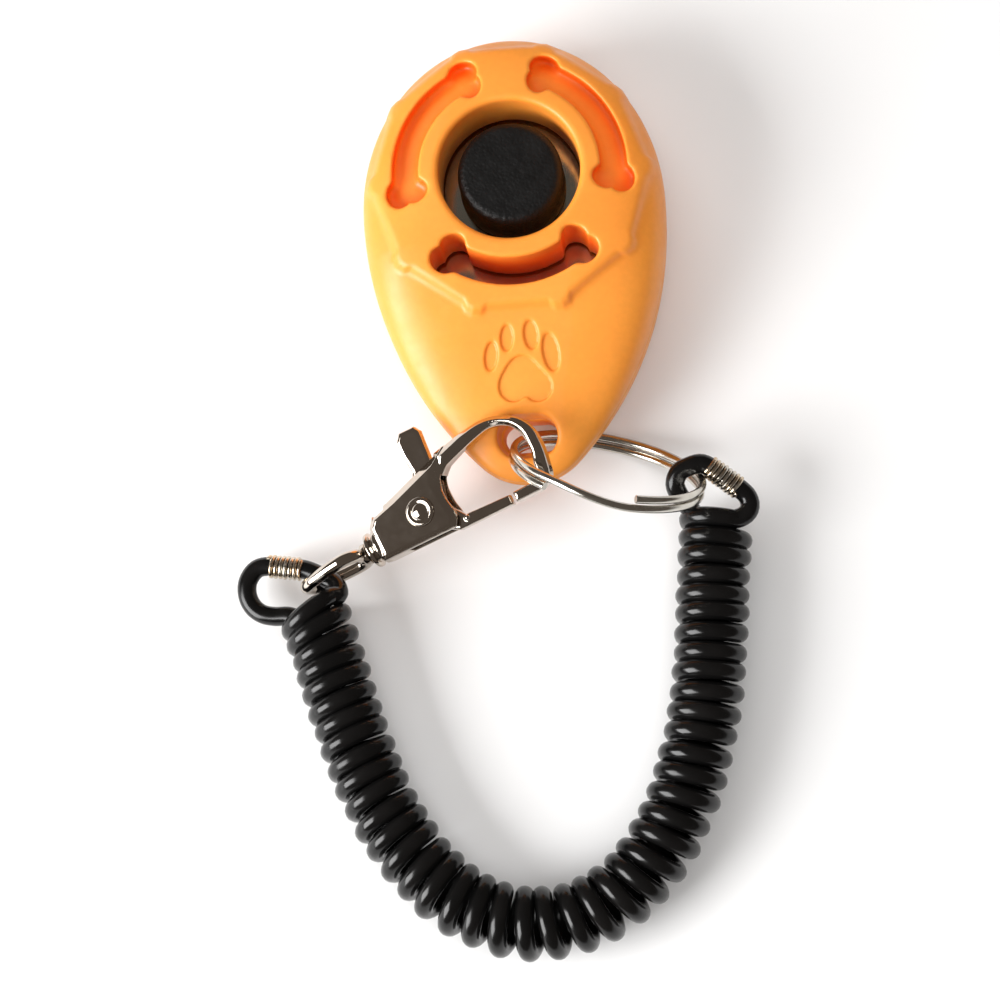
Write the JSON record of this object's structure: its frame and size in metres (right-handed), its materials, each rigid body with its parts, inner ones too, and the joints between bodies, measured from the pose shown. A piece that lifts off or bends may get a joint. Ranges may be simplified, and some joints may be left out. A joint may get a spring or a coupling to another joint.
{
  "type": "dog training clicker",
  "caption": "Egg-shaped dog training clicker with push button, bone-shaped slots, split ring, swivel lobster clasp and curly wrist cord.",
  "frame": {"origin": "on the housing's flat base, straight under the button's centre", "axes": "+Z out through the button face, +Y towards the housing's broad head, +X to the right seen from the button side"},
  "size_m": [0.075, 0.1306, 0.0257],
  "materials": {
    "housing_orange": "satin moulded orange plastic",
    "button_black": "fine-grained matte black plastic",
    "plate_steel": "bright rolled spring steel",
    "clasp_chrome": "nickel-plated die casting",
    "ring_steel": "bright plated steel wire",
    "cord_black": "glossy black extruded plastic"
  },
  "bodies": {
    "housing": {"front_shell": "housing_orange", "back_shell": "housing_orange", "click_plate": "plate_steel"},
    "button": {"button": "button_black"},
    "split_ring": {"split_ring": "ring_steel", "ring_end_loop": "cord_black", "ring_end_tail": "cord_black", "ring_end_ferrule": "ring_steel", "coil_cord": "cord_black"},
    "clasp_body": {"clasp_body": "clasp_chrome", "clasp_rivet": "clasp_chrome", "trigger_spring": "plate_steel", "clasp_end_loop": "cord_black", "clasp_end_tail": "cord_black", "clasp_end_ferrule": "ring_steel"},
    "clasp_trigger": {"clasp_trigger": "clasp_chrome"},
    "swivel_eye": {"swivel_eye": "clasp_chrome"}
  },
  "joints": [
    {"name": "button_press", "type": "slide", "parent": "housing", "child": "button", "axis": [0, 0, -1], "range_m": [0, 0.0015], "stiffness_N_per_m": 600, "deforming": ["click_plate"]},
    {"name": "ring_swing", "type": "hinge", "parent": "housing", "child": "split_ring", "pos_m": [-0.0019, -0.0389, 0.013], "axis": [0, 0, 1], "range_deg": [-5, 4.5]},
    {"name": "clasp_swing", "type": "hinge", "parent": "split_ring", "child": "clasp_body", "pos_m": [-0.0018, -0.0405, 0.0162], "axis": [0, 0, 1], "range_deg": [-5, 20], "deforming": ["coil_cord"]},
    {"name": "eye_swivel", "type": "hinge", "parent": "clasp_body", "child": "swivel_eye", "pos_m": [-0.02242, -0.05083, 0.00865], "axis": [0.8784, 0.3674, 0.3057], "range_deg": [-20, 20]},
    {"name": "trigger_press", "type": "hinge", "parent": "clasp_body", "child": "clasp_trigger", "pos_m": [-0.0149, -0.0466, 0.0114], "axis": [-0.282, -0.118, 0.9521], "range_deg": [0, 24], "stiffness_Nm_per_rad": 0.02, "deforming": ["trigger_spring"]}
  ]
}
